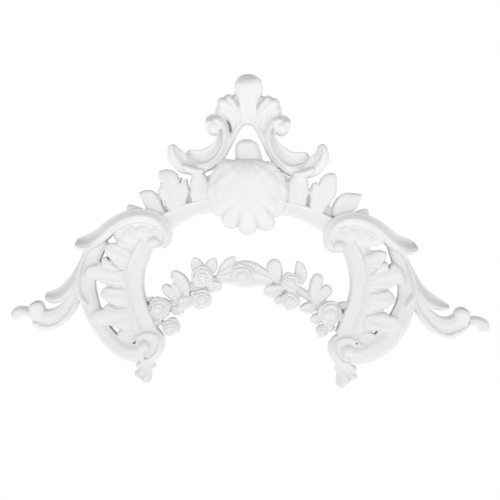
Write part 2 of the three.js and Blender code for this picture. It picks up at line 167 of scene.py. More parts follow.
def blend(early, late, start, end):
    """A profile that turns from one into another between two places along its member."""
    return lambda u, t: early(u, t) + (late(u, t) - early(u, t)) * ease((t - start) / (end - start))


def frond(veins, depth, curl, edge):
    """A profile for a leaf: nearly level, with fine veins along it and a tip that rolls back."""
    def profile(u, t):
        crown = 1 - (1 - edge) * abs(u) ** 3 * (0.2 + 0.8 * ease(t * 1.4))
        vein = depth * math.cos(math.pi * veins * u) * ease(t * 2.4)
        return crown + vein - curl * ease((t - 0.72) / 0.28) ** 2
    return profile


ROUND_LEAF = ((0, 0.8, 0.86), (0.3, 0.9, 0.92), (0.6, 1, 0.97), (0.85, 0.98, 1), (1, 0.84, 1))
POINTED_LEAF = ((0, 0.6, 0.86), (0.25, 0.9, 0.93), (0.46, 1, 0.98), (0.72, 0.8, 1), (0.9, 0.42, 1),
                (1, 0.14, 0.96))
UPRIGHT_LEAF = ((0, 0.6, 0.86), (0.3, 0.78, 0.94), (0.55, 0.9, 0.98), (0.8, 1, 1), (1, 0.92, 1))
FAN_LEAF = ((0, 0.3, 0.8), (0.3, 0.6, 0.9), (0.6, 0.9, 1), (0.85, 1, 1), (1, 0.8, 0.98))
OVAL_LEAF = ((0, 0.46, 0.86), (0.3, 0.84, 0.93), (0.6, 1, 0.98), (0.84, 0.9, 1), (1, 0.66, 0.98))
CURLED_LEAF = ((0, 0.5, 0.9), (0.3, 0.66, 0.95), (0.6, 0.88, 1), (0.82, 1, 1), (1, 0.9, 0.96))


def leaf(root, tip, half, bow, rise, profile, outline=ROUND_LEAF, blunt=1.3):
    """A leaf from its root to its tip, with its middle line bowed to the left."""
    run = (tip[0] - root[0], tip[1] - root[1])
    length = math.hypot(*run)
    stations = []
    for t, width, share in outline:
        aside = 4 * bow * t * (1 - t) / length
        x = root[0] + run[0] * t + run[1] * aside
        down = root[1] + run[1] * t - run[0] * aside
        stations.append((x, down, half * width, share))
    carve(stations, profile, rise, (0, blunt), 22)


def mound(place, radius, rise, profile, bend=None, rings=14, sides=40):
    """Adds a round form: profile(out) gives the share of the rise from the middle, at 0, to the edge,
    at 1, and bend(bearing, out) may change the reach and the share of the rise of each point."""
    form = bmesh.new()
    spoke = [form.verts.new((i / rings, 0, 0)) for i in range(rings + 1)]
    edges = [form.edges.new(pair) for pair in zip(spoke, spoke[1:])]
    bmesh.ops.spin(
        form, geom=spoke + edges, cent=(0, 0, 0), axis=(0, 1, 0), angle=2 * math.pi, steps=sides,
        use_merge=True,
    )
    bmesh.ops.remove_doubles(form, verts=form.verts, dist=1e-6)
    for vertex in form.verts:
        out = min(1, math.hypot(vertex.co.x, vertex.co.z))
        bearing = math.atan2(-vertex.co.z, vertex.co.x)
        reach, height = bend(bearing, out) if bend else (1, 1)
        x = place[0] + radius * reach * out * math.cos(bearing)
        down = place[1] + radius * reach * out * math.sin(bearing)
        vertex.co = ((x - MIDDLE[0]) * UNIT, -rise * profile(out) * height, (MIDDLE[1] - down) * UNIT)
    close_behind(form)
    add_to_casting(form)


def ball(out):
    """A round form's profile: a ball that stands on a low foot."""
    return 0.62 + 0.38 * math.sqrt(max(0, 1 - out**2.4))


def spatula(u, t):
    """The finial's face: level, with a faint middle ridge and raised sides, rolled back at the top."""
    sides = 0.05 * math.exp(-(((abs(u) - 0.84) / 0.1) ** 2)) * ease(t * 2.2)
    edge = 0.2 * max(0, (abs(u) - 0.88) / 0.12) ** 2
    ridge = 0.018 * math.exp(-((u / 0.16) ** 2))
    top = 0.5 * ease((t - 0.7) / 0.36) ** 1.5
    return 0.93 + sides + ridge - edge - top


FINIAL = [
    (248, 124, 7.8, 0.84), (248, 116, 8.2, 0.86), (248, 109, 8.8, 0.9), (248.2, 102.4, 9.8, 0.95),
    (248.5, 96.6, 12.2, 0.98), (248.5, 90.6, 14, 1), (248.3, 84.4, 14, 1), (247.6, 78.4, 12.6, 1),
    (247.2, 72.6, 10.6, 0.98),
]
carve(FINIAL, spatula, CREST_RISE, (0, 1), 30)
ARCHED_FOOT = [(219.6, 161, 3, 0.78), (225, 151, 3, 0.76), (230, 141.4, 3, 0.76),
               (235.4, 130.6, 3.2, 0.78), (240.8, 123.4, 3, 0.8), (247.6, 120.8, 2.8, 0.8),
               (254.4, 123.4, 3, 0.8), (259.6, 130.4, 3.2, 0.78), (265, 141, 3, 0.76),
               (270, 151, 3, 0.76), (275.6, 162, 3, 0.78)]
carve(ARCHED_FOOT, across((-1, 0.84), (0, 1), (1, 0.84)), CREST_RISE, (0, 0), 10)


def tongue(u, t):
    """The tongue: a level face inside a broad bevel."""
    inset = min(1 - abs(u), (1 - t) * 1.7)
    return 0.8 + 0.2 * ease(inset / 0.36)


TONGUE = [(248, 172, 16, 1), (248.8, 160, 14, 1), (247.4, 151, 12.6, 1), (246.8, 144, 11, 1),
          (246.8, 138.4, 7, 1)]
carve(TONGUE, tongue, 0.78 * CREST_RISE, (0, 1), 30)

BAND = rolled(-0.5, 0.84, 0.6, 0.88, 0.5, 0.16)
TIP = blend(across((-1, 0.84), (-0.5, 0.7), (0, 0.8), (0.4, 0.98), (1, 0.84)),
            across((-1, 0.7), (-0.3, 0.82), (0.1, 1), (0.5, 0.94), (1, 0.8)), 0.3, 0.8)


def tilted(bearing, out):
    """Leans a round form back at its top."""
    return 1, 1 - 0.4 * ease(-math.sin(bearing) * out * 1.1 + 0.05)


CREST_HOLLOWS = [
    [(221, 110, 4, 0.24), (229, 122, 5, 0.24), (230, 138, 4, 0.24)],
    [(276, 112, 3, 0.24), (267.6, 120, 4.4, 0.24), (263.4, 134, 3.4, 0.24)],
]
for stations in CREST_HOLLOWS:
    carve(stations, level_face, CREST_RISE, (1, 1), 6)

CREST_LEAVES = {
    "left": {
        "leaves": [((235.6, 132), (215.2, 107), 6, -6, 0.76),
                   ((239, 128), (216.6, 100.4), 5.4, -6.6, 0.84),
                   ((239.6, 126), (223.4, 95.6), 5, -5, 0.82),
                   ((240.4, 122), (232.4, 93.6), 3.4, -2, 0.62)],
        "strand": [(226, 128, 2.6, 0.74), (226.6, 140, 3.4, 0.78), (223, 151, 4, 0.8),
                   (215, 161, 4.2, 0.82), (204, 167, 4, 0.84), (193, 168.6, 3.4, 0.84)],
        "band": [(210, 121.6, 3, 0.84), (214.6, 119, 4.6, 0.94), (220, 121, 5.6, 1),
                 (223.4, 128.4, 6, 1), (223.4, 137.6, 6.8, 0.98), (219.4, 148, 8.2, 0.96),
                 (211.4, 155.8, 9.4, 0.94), (202.4, 158.8, 9.4, 0.92), (194, 156.6, 7.4, 0.9),
                 (186.6, 151.4, 4, 0.86)],
        "tip": [(213, 164, 3.6, 0.8), (204, 167, 4.8, 0.84), (194, 167, 6.8, 0.88), (184, 163.6, 9, 0.92),
                (176.4, 156.6, 8.8, 0.94), (173.4, 149.6, 6, 0.92), (172.8, 144, 3, 0.9)],
        "lip": [(205, 170.6, 2, 0.94), (196.6, 171.4, 3.8, 1.06), (189, 169.6, 4.2, 1.1),
                (182, 165.4, 2.6, 1.06)],
        "hood": ((214.4, 122.6), 9.4), "eye": ((214, 127.6), 7.4),
    },
    "right": {
        "leaves": [((260, 132), (282, 108), 6, 6, 0.76), ((257, 128), (280.4, 101.6), 5.4, 6.6, 0.84),
                   ((256.6, 126), (273.4, 97), 5, 5, 0.82), ((256, 122), (264.8, 95.2), 3.4, 2, 0.62)],
        "strand": [(269, 128, 2.6, 0.74), (268, 140, 3.4, 0.78), (271.4, 151.6, 4, 0.8),
                   (279.4, 162.6, 4.2, 0.82), (290.6, 170, 4, 0.84), (302, 172, 3.4, 0.84)],
        "band": [(285.6, 122, 3, 0.84), (280.8, 119.6, 4.6, 0.94), (274.4, 121.4, 5.6, 1),
                 (270.2, 128.6, 6, 1), (269.4, 137.8, 6.8, 0.98), (273.8, 148.6, 8.2, 0.96),
                 (282.2, 157.2, 9.4, 0.94), (292, 161.4, 9.4, 0.92), (301.8, 159, 7.4, 0.9),
                 (308.8, 153.8, 4.2, 0.86)],
        "tip": [(282, 166.8, 3.6, 0.8), (291, 170.6, 4.8, 0.84), (301, 171, 6.8, 0.88),
                (312, 167.4, 9, 0.92), (320, 160, 8.8, 0.94), (322.4, 151.6, 6, 0.92),
                (321, 143.8, 3, 0.9)],
        "lip": [(291.6, 174, 2, 0.94), (300, 174.8, 3.8, 1.06), (307.6, 173, 4.2, 1.1),
                (314.8, 168.4, 2.6, 1.06)],
        "hood": ((281.4, 123.6), 9.4), "eye": ((281.8, 128), 7.4),
    },
}
for side, forms in CREST_LEAVES.items():
    for root, tip, half, bow, level in forms["leaves"]:
        leaf(root, tip, half, bow, level * CREST_RISE, frond(1, 0.01, 0.42, 0.68), CURLED_LEAF, 1)
    carve(forms["strand"], across((-1, 0.86), (0, 1), (1, 0.9)), CREST_RISE, (1, 1), 12)
    carve(forms["band"], handed(side, BAND), CREST_RISE, (1, 0.9), 36)
    carve(forms["tip"], handed(side, TIP), CREST_RISE, (0, 1), 28)
    carve(forms["lip"], rounded, CREST_RISE, (1, 1), 12)
    mound(*forms["hood"], 0.94 * CREST_RISE, lambda out: 1 - 0.1 * out**4, tilted)
    mound(*forms["eye"], CREST_RISE, ball)

# The shell in the middle is the highest place of the casting: a broad dome with soft flutes that fan
# out from its top, and an edge of lobes. The lower lobes are cut deep and cupped at their ends.
SHELL_RISE = 0.045
SHELL_MIDDLE = (247, 188)
SHELL_LOBES = [
    (-41, 36), (-17, 38.6), (7, 40.6), (34, 43.4), (59.5, 48), (89, 46.8), (118.6, 44.6), (145, 42.8),
    (171, 40.6), (197, 38.4), (229, 37), (249, 30), (270, 28), (291, 30), (319, 36),
]
FAN = (248, 160)  # the plan's point where the flutes meet


def shell_bend(bearing, out):
    """Bends a dome to the shell's lobes, with flutes that fan out and cups near the lower edge."""
    degrees = (math.degrees(bearing) + 41) % 360 - 41
    for (a, near), (b, far) in zip(SHELL_LOBES, SHELL_LOBES[1:]):
        if degrees <= b:
            break
    share = (degrees - a) / (b - a)
    deep = a > 30 and b < 150
    aside = 2 * min(share, 1 - share)
    scallop = (0.2 if deep else 0.03) * (1 - math.sqrt(1 - 0.98 * aside**2))
    reach = (near + (far - near) * ease(share)) * (1 - scallop)
    x, down = reach * out * math.cos(bearing), reach * out * math.sin(bearing)
    fan = math.atan2(down + SHELL_MIDDLE[1] - FAN[1], x + SHELL_MIDDLE[0] - FAN[0])
    flutes = 0.010 * math.cos(14 * (fan - math.pi / 2)) * ease((out - 0.1) / 0.4)
    below = ease((degrees + 45) / 30) * ease((225 - degrees) / 30)
    cup = 0.07 * math.exp(-(((out - 0.84) / 0.07) ** 2)) * (1 - aside**2) * below
    groove = (0.12 * aside**6 if deep else 0.02 * aside**2) * ease((out - 0.5) / 0.4)
    return reach, 1 + flutes - cup - groove


def shell_profile(out):
    """The shell's broad dome."""
    return 0.56 + 0.44 * math.sqrt(max(0, 1 - (out * 0.985) ** 3))


mound(SHELL_MIDDLE, 1, SHELL_RISE, shell_profile, shell_bend, 60, 260)

# The arch: a moulded band on each side of the shell with upright acanthus leaves along its top, which
# stand close together on a lower ground. The large leaves are blades cut to their outlines.
ARCH_RISE = 0.030
FOLDS = 15  # folds to a full turn round the root of a blade
FOLD_DEPTH = 0.02
FOLD_REACH = 34  # how far from the root the folds come to their full depth

MOULDING = across((-1, 0.88), (-0.84, 1), (-0.6, 0.96), (0.7, 0.99), (1, 0.92))
ARCH_BANDS = [
    [(218, 203.6, 7, 0.92), (203, 206.4, 7, 0.92), (192, 209.3, 7.2, 0.92), (182, 213.5, 7.8, 0.92),
     (172, 218.4, 8.4, 0.92), (162, 224, 9, 0.92)],
    [(333, 228, 9, 0.92), (322, 221.8, 8.4, 0.92), (312, 216.5, 7.8, 0.92), (302, 212.2, 7.2, 0.92),
     (291, 209.2, 6.8, 0.92), (276, 207.4, 6.8, 0.92)],
]
ARCH_GROUNDS = [
    [(222, 186, 16, 0.6), (209, 192, 14, 0.6), (198, 199, 11, 0.56), (187, 205, 10, 0.52),
     (172, 213, 10, 0.5), (158, 218, 7, 0.4)],
    [(274, 187, 16, 0.6), (288, 193, 14, 0.6), (300, 200, 11, 0.56), (311, 206, 10, 0.52),
     (326, 215, 10, 0.5), (342, 223, 7, 0.4)],
]
ARCH_LEAVES = [
    ((211, 206), (208.6, 178), 6.4, 0, 0.78), ((150, 217), (125.6, 208.4), 4.4, -2, 0.7),
    ((287, 208), (289.6, 179), 6.4, 0, 0.78), ((345, 222), (369.6, 212.4), 4.4, 2, 0.7),
]
ARCH_BLADES = [  # middle, root, share of the rise, outline
    ((199, 189), (199, 214), 0.9, [
        (191.5, 178), (193.2, 174), (197, 172.8), (201.8, 172.8), (206, 175), (208.3, 182),
        (208.3, 201), (199, 204), (191.6, 202), (190.8, 189)]),
    ((173, 193), (178, 222), 0.93, [
        (158.6, 171.8), (163, 169.8), (167.4, 169.2), (173.2, 170.8), (177.3, 174), (178.6, 178),
        (178.6, 184), (181.2, 178), (183.8, 175.6), (186.6, 178), (187.4, 183), (187.2, 199),
        (182, 212), (168.6, 211), (163.6, 202), (160, 198.4), (158, 194.6), (158, 189.6),
        (160.8, 186.4), (163.4, 184.6), (159.6, 181.6), (158.2, 176.6)]),
    ((151, 202), (166, 220), 0.78, [
        (138.6, 193), (141.3, 191.2), (147, 190), (152.6, 190.4), (155.6, 193), (159, 198.4),
        (162.6, 205.6), (166, 214), (157.6, 216), (147, 211), (144.5, 205.3), (142.6, 200.4),
        (139.3, 196.3)]),
    ((298.6, 190), (298, 216), 0.9, [
        (288.8, 180), (291.2, 176.6), (296.1, 175.6), (303.1, 176), (306.7, 178), (308, 182.4),
        (308.6, 187), (307, 198.1), (305.8, 208), (287.3, 206), (288, 190)]),
    ((321, 194), (316, 224), 0.93, [
        (311.4, 187), (313, 183), (316.3, 181.6), (318.6, 185), (322, 177), (326.9, 173.6),
        (331.3, 172.6), (335.7, 174), (337.2, 179.6), (336.2, 184.9), (336.8, 191), (335.7, 195),
        (331.6, 200.4), (327, 207), (322, 216), (309.6, 212), (309.8, 198)]),
    ((346, 204), (328, 222), 0.78, [
        (332.6, 207), (335.6, 201), (340, 195.6), (344.6, 193.3), (350.7, 192.8), (357.7, 193.5),
        (362.3, 194.3), (362.3, 197.2), (359.5, 202.5), (357.7, 206.9), (353.3, 211), (343.6, 217),
        (332, 216)]),
]


def bladed(middle, root, outline):
    """Bends a round form to an outline of the plan, with folds that fan out from the root."""
    spokes = sorted(
        (math.atan2(down - middle[1], x - middle[0]), math.dist((x, down), middle)) for x, down in outline
    )
    turn = 2 * math.pi
    spokes = [(spokes[-1][0] - turn, spokes[-1][1]), *spokes, (spokes[0][0] + turn, spokes[0][1])]

    def bend(bearing, out):
        for (a, near), (b, far) in zip(spokes, spokes[1:]):
            if bearing <= b:
                break
        share = (bearing - a) / (b - a)
        reach = near * far / (far + (near - far) * share)
        x = middle[0] + reach * out * math.cos(bearing)
        down = middle[1] + reach * out * math.sin(bearing)
        fold = math.cos(FOLDS * math.atan2(x - root[0], root[1] - down))
        return reach, 1 + FOLD_DEPTH * fold * ease(math.dist((x, down), root) / FOLD_REACH)
    return bend


def slab(out):
    """A nearly level face with rounded edges."""
    return 0.74 + 0.26 * math.sqrt(max(0, 1 - out**7))


for stations in ARCH_BANDS:
    carve(stations, MOULDING, ARCH_RISE, columns=24)
for stations in ARCH_GROUNDS:
    carve(stations, level_face, ARCH_RISE, columns=6)
for root, tip, half, bow, level in ARCH_LEAVES:
    leaf(root, tip, half, bow, level * ARCH_RISE, frond(1, 0.012, 0.08, 0.8), UPRIGHT_LEAF, 0.95)
for middle, root, level, outline in ARCH_BLADES:
    mound(middle, 1, level * ARCH_RISE, slab, bladed(middle, root, outline), 20, 180)

# The two big scrolls. Each has a rolled rim that starts at an eye and flares out at its end, a fan of
# leaves under the rim, a bar edged by fillets, softly folded lobes that reach from the bar over an
# outer crescent, and at the foot a ring round a second eye, with a small hanging leaf below it.
SCROLL_RISE = 0.039
RIM = blend(
    across((-1, 0.8), (0.3, 1), (0.46, 0.96), (0.64, 0.9), (1, 0.88)),
    across((-1, 0.42), (-0.9, 0.44), (0.5, 0.94), (0.66, 1), (1, 0.84)), 0.6, 0.9)
BAR = across((-1, 0.8), (-0.78, 1.01), (-0.42, 0.92), (0.66, 0.95), (0.84, 1), (1, 0.86))
CRESCENT = blend(
    across((-1, 0.86), (-0.84, 1.04), (-0.5, 0.86), (0.4, 0.88), (1, 0.78)),
    across((-1, 0.8), (-0.6, 0.98), (0.2, 1), (1, 0.86)), 0.36, 0.6)
COVE = across((-1, 0.72), (0, 0.86), (1, 0.95))
RING = across((-1, 0.84), (-0.5, 1), (0, 0.86), (1, 0.8))
THREAD = across((-1, 0.86), (0, 1), (1, 0.86))
SCROLLS = {
    "left": {
        "rim": [(161, 247.8, 2.4, 0.88), (166.2, 241, 4, 0.94), (166.4, 231.6, 5.2, 0.98),
                (160.4, 222.2, 6.2, 1), (149.6, 216.4, 6.4, 1), (136, 215.6, 6.2, 1),
                (122.4, 219.8, 6.4, 1), (110.4, 227.6, 6.8, 1), (100, 236, 7.4, 0.98),
                (89.6, 242, 7.8, 0.92), (81.6, 243.4, 6.8, 0.84), (75, 242.6, 3.6, 0.78)],
        "fillet": [(159.6, 240, 1.2, 0.86), (158.4, 232, 1.2, 0.88), (151, 225, 1.2, 0.88),
                   (139, 222.4, 1.2, 0.88), (126, 225.6, 1.2, 0.86), (115, 233.6, 1.2, 0.82)],
        "ground": [(162, 243, 5, 1.2), (161.4, 234, 6, 1.2), (152, 228, 9, 1.1), (137, 229, 9, 1),
                   (124, 233, 7, 1), (114, 238, 4, 1)],
        "eye": ((154.8, 242), 6.4),
        "fan": [((150, 250), (116, 240.6), 7.4, 1.4, 0.79), ((152, 248), (123, 229.6), 9.4, 1.4, 0.83),
                ((154, 246), (139, 224.6), 8, 0.6, 0.84), ((157, 244), (153, 226.4), 6.6, 0, 0.86)],
        "bar": [(152, 229, 4, 0.72), (148, 238, 6.4, 0.8), (142.4, 251, 8.8, 0.86),
                (137, 264, 9, 0.87), (134.8, 278, 8.8, 0.87), (135.4, 292, 8.6, 0.87),
                (138.8, 306, 8.8, 0.86), (144, 320, 9.2, 0.84), (150, 334, 9.6, 0.8)],
        "web": [(134, 240, 9, 0.8), (125, 255, 11.4, 0.82), (119.6, 268, 11.6, 0.82),
                (118.4, 281, 11.6, 0.82), (119, 294, 11.6, 0.82), (122.4, 308, 11.6, 0.82),
                (129.4, 321, 11, 0.82), (137.4, 333, 10, 0.8)],
        "crescent": [(104, 238, 5.6, 0.66), (95, 251, 8, 0.66), (88.8, 265, 8.6, 0.64),
                     (86, 281, 8.6, 0.64), (88.4, 297, 8.2, 0.66), (93.6, 314, 8, 0.7),
                     (102.4, 329.6, 7.8, 0.74), (112.8, 341.6, 8, 0.78), (124.6, 350, 8.6, 0.82),
                     (136.4, 352.4, 8.8, 0.86), (146, 351, 8, 0.88)],
        "ridge": [(91, 246, 2, 0.72), (82.4, 262, 2.2, 0.74), (78, 279, 2.4, 0.76),
                  (78.4, 290, 2.8, 0.78), (81.6, 298, 2.8, 0.78), (88.6, 305, 2, 0.72)],
        "lobes": [
            ((118, 254.6), (140, 262), 0.81, [
                (105, 248), (106.2, 244.8), (109.8, 243), (114.4, 242.9), (120, 244.8), (124.6, 247.2),
                (132, 248.5), (132, 260.5), (116.3, 266), (111.6, 260.8), (107.9, 256), (105.4, 252)]),
            ((109, 264), (136, 274), 0.81, [
                (103.3, 257.6), (105.2, 256.4), (107, 257.2), (109.2, 260.2), (113.5, 264.4),
                (120, 268.8), (117, 276), (107, 268), (102.4, 262), (101.8, 259.4)]),
            ((105, 273), (136, 281), 0.81, [
                (84.4, 273.1), (85.7, 269.8), (88.5, 266.6), (93.1, 264.6), (97.2, 264), (99.2, 262),
                (102, 262), (105.6, 264.6), (111.6, 268.6), (120, 270.4), (128, 270), (128, 286.2),
                (114.4, 285.6), (107.9, 284.6), (103.3, 283.2), (98.7, 280.2), (94.1, 279.6),
                (89.4, 279), (86.3, 277.8), (84.8, 275.7)]),
            ((113, 295.4), (136, 296), 0.81, [
                (100.9, 295.1), (101.4, 292), (102.9, 289.2), (106.1, 287.2), (110.7, 286.6),
                (115.3, 287.6), (128, 288), (128, 306), (116.3, 305.4), (109.8, 302.8), (105.2, 300),
                (102.4, 297.8)]),
            ((110, 315), (142, 311), 0.81, [
                (91.8, 317.9), (92.2, 314.2), (95, 310.8), (99.6, 308.8), (103.4, 308.4),
                (105.4, 305.6), (108.2, 303.8), (113.5, 306), (118.5, 307.4), (130, 306), (133, 330),
                (118.1, 328.4), (112.6, 326), (107, 323.6), (100.5, 323.4), (95, 322)]),
            ((127, 335), (147, 330), 0.72, [
                (117.5, 334.5), (118.5, 331), (121.8, 329), (127.4, 328.8), (137, 329), (139, 341),
                (131, 342.8), (125.5, 341.4), (120.4, 340), (118.2, 337.6)]),
        ],
        "ring": [(131, 342.6, 2, 0.8), (138, 334.6, 3, 0.86), (149, 331, 3.4, 0.9),
                 (158.6, 334.6, 3.4, 0.9), (161.6, 344.4, 3.2, 0.9), (157.4, 353.6, 3, 0.88),
                 (149.6, 359.6, 2.6, 0.84), (141, 361, 2, 0.78)],
        "foot": ((144.2, 346), 7.4),
        "plate": ((148.4, 344.6), 12.4),
        "stem": [(161, 336.6, 2.4, 0.66), (162, 345, 2.8, 0.66), (158.6, 353, 3, 0.64),
                 (152.6, 359.6, 3.6, 0.62), (149, 368, 3.6, 0.6)],
        "drop": [((150, 358), (147, 384), 4.4, -1.4), ((147, 360), (135.4, 366.6), 3.4, 1),
                 ((147, 364), (134, 376), 3.8, 2), ((146.4, 369), (141.4, 381.4), 3, 1),
                 ((149.6, 360), (154, 368.6), 2.8, 0)],
    },
    "right": {
        "rim": [(336.4, 252, 2.4, 0.88), (330, 246, 4, 0.94), (328.4, 236.8, 5, 0.98),
                (332.4, 227.4, 6, 1), (341, 220.6, 6.2, 1), (352.6, 218.4, 6.2, 1), (365, 221, 6.4, 1),
                (376.6, 227.4, 6.8, 1), (386.8, 235.8, 7.2, 0.98), (396.6, 243, 8, 0.94),
                (405.4, 246.6, 8.6, 0.88), (412.6, 247.2, 7, 0.82), (417.6, 246, 4, 0.76)],
        "fillet": [(333.6, 243.6, 1.2, 0.86), (336, 234.6, 1.2, 0.88), (343.4, 228, 1.2, 0.88),
                   (353, 225.4, 1.2, 0.88), (364.4, 228.4, 1.2, 0.86), (376, 235.4, 1.2, 0.82)],
        "ground": [(331, 247, 5, 1.2), (333, 238, 6, 1.2), (342, 231, 9, 1.1), (356, 232, 9, 1),
                   (368, 235, 7, 1), (380, 239, 5, 1)],
        "eye": ((338.4, 246.4), 6.6),
        "fan": [((344, 246), (384, 238), 5.6, -1.4, 0.79), ((342, 250), (370, 231.4), 9, -1.4, 0.83),
                ((340, 248), (354.4, 226.6), 8, -0.6, 0.84), ((337, 247), (340.6, 229), 6.6, 0, 0.86)],
        "bar": [(341.4, 229, 4, 0.72), (346.4, 238.6, 6.2, 0.8), (352, 252, 8.2, 0.86),
                (356.6, 264, 8.6, 0.87), (358.8, 278, 8.4, 0.87), (358.6, 292, 8.4, 0.87),
                (355.4, 307, 8.8, 0.86), (350.4, 320, 9.2, 0.84), (344.6, 336, 9.4, 0.8)],
        "web": [(360, 242, 6, 0.8), (365, 255, 8, 0.82), (373.6, 268, 12, 0.82),
                (375.6, 281, 12.4, 0.82), (374.8, 294, 12.4, 0.82), (371.2, 308, 12.4, 0.82),
                (364.6, 321, 11.6, 0.82), (356, 335, 10.4, 0.8)],
        "crescent": [(392, 244, 4.8, 0.66), (399, 259, 6.8, 0.66), (404.8, 273, 7.8, 0.64),
                     (407.4, 288, 8.4, 0.64), (406.4, 302, 9, 0.66), (402, 315.4, 10, 0.7),
                     (395, 328.4, 10.8, 0.74), (384.4, 340.8, 11.2, 0.78), (371.4, 349.8, 10.8, 0.82),
                     (357.6, 353.8, 9.6, 0.86), (347, 353.8, 8, 0.88)],
        "ridge": [(398, 247, 2, 0.72), (408, 264, 2.2, 0.74), (414, 282, 2.4, 0.76),
                  (414.6, 294, 3, 0.78), (410.6, 300.6, 3.4, 0.78), (405, 308, 2.4, 0.72)],
        "lobes": [
            ((376, 259), (354, 264), 0.81, [
                (370, 253.5), (375.5, 250.6), (381, 250.3), (385.6, 252), (386.2, 256.4),
                (383.2, 262.4), (378, 267.4), (373.7, 269.4), (366, 267), (362, 256)]),
            ((381, 268), (356, 276), 0.81, [
                (382.9, 262.9), (385.6, 261.2), (387.9, 263.3), (388.1, 267), (387, 272), (381.1, 273),
                (372, 274), (376, 269.4)]),
            ((388, 277), (358, 285), 0.81, [
                (389, 268), (390.2, 264.8), (393.1, 262.9), (397.7, 265.1), (401.4, 269.8),
                (403.8, 275.3), (405.8, 279.6), (404.2, 283.4), (399.6, 284.8), (394, 284.4),
                (390.3, 287), (387.6, 289), (380, 290), (368, 290), (366, 275.3), (375.5, 271),
                (382.9, 270.6)]),
            ((383, 300), (358, 299), 0.81, [
                (368, 292.4), (377, 292.2), (384, 291), (388.5, 290.4), (391.6, 292.6), (394.2, 296.6),
                (395.5, 299.8), (393.4, 303.2), (389.4, 305.4), (386, 308.4), (381, 310), (372, 311),
                (366, 310)]),
            ((383, 321), (353, 314), 0.81, [
                (374, 313), (381, 312), (386.4, 312.6), (389, 315.2), (394, 315.4), (397.9, 318),
                (399.8, 322.5), (399.4, 327.1), (396.4, 330.8), (391.2, 332), (385.7, 331.6),
                (381, 330.4), (374, 331), (362, 330), (364, 315)]),
            ((368, 337), (348, 331), 0.72, [
                (362, 332), (370, 332.2), (374.6, 334), (377.2, 337.4), (376.2, 341.2), (371.8, 342.8),
                (364, 343), (358, 341), (358, 334)]),
        ],
        "ring": [(364, 347, 2, 0.8), (357, 339.6, 3, 0.86), (346, 336, 3.4, 0.9),
                 (336, 339.6, 3.4, 0.9), (332.4, 349, 3.2, 0.9), (336.4, 358, 3, 0.88),
                 (343.6, 363.4, 2.6, 0.84), (352, 364, 2, 0.78)],
        "foot": ((347.6, 350.8), 7.6),
        "plate": ((344.6, 349.4), 12.4),
        "stem": [(332, 341, 2.4, 0.66), (331, 350, 2.8, 0.66), (334.4, 358, 3, 0.64),
                 (339.4, 364.4, 3.6, 0.62), (342, 372, 3.6, 0.6)],
        "drop": [((341, 362), (340.4, 388.6), 4.6, 1), ((343, 368), (349.4, 384), 4, -1),
                 ((343, 362), (357.6, 371), 3.6, -1), ((344, 365), (357, 379.4), 3.4, -1),
                 ((340, 362), (337.6, 372), 2.4, 0)],
    },
}
for side, forms in SCROLLS.items():
    carve(forms["rim"], handed(side, RIM), SCROLL_RISE, (1, 0.5), 36)
    carve(forms["fillet"], THREAD, SCROLL_RISE, (1, 1), 8)
    mound(*forms["eye"], 1.05 * SCROLL_RISE, ball)
    carve(forms["ground"], level_face, 0.72 * SCROLL_RISE, (1, 1), 8)
    for root, tip, half, bow, level in forms["fan"]:
        leaf(root, tip, half, bow, level * SCROLL_RISE, frond(2, 0.01, 0.02, 0.9), FAN_LEAF)
    carve(forms["bar"], handed(side, BAR), SCROLL_RISE, (0, 0), 44)
    carve(forms["web"], handed(side, COVE), SCROLL_RISE, (0, 0), 10)
    carve(forms["crescent"], handed(side, CRESCENT), SCROLL_RISE, (0.6, 0.6), 34)
    carve(forms["ridge"], THREAD, SCROLL_RISE, (1, 1), 8)
    for middle, root, level, outline in forms["lobes"]:
        mound(middle, 1, level * SCROLL_RISE, slab, bladed(middle, root, outline), 20, 150)
    carve(forms["ring"], handed(side, RING), SCROLL_RISE, (1, 1), 14)
    mound(*forms["foot"], 0.96 * SCROLL_RISE, ball)
    mound(*forms["plate"], 0.76 * SCROLL_RISE, lambda out: 1)
    carve(forms["stem"], THREAD, SCROLL_RISE, (1, 1), 10)
    for root, tip, half, bow in forms["drop"]:
        leaf(root, tip, half, bow, 0.62 * SCROLL_RISE, frond(1, 0.02, 0.16, 0.76))

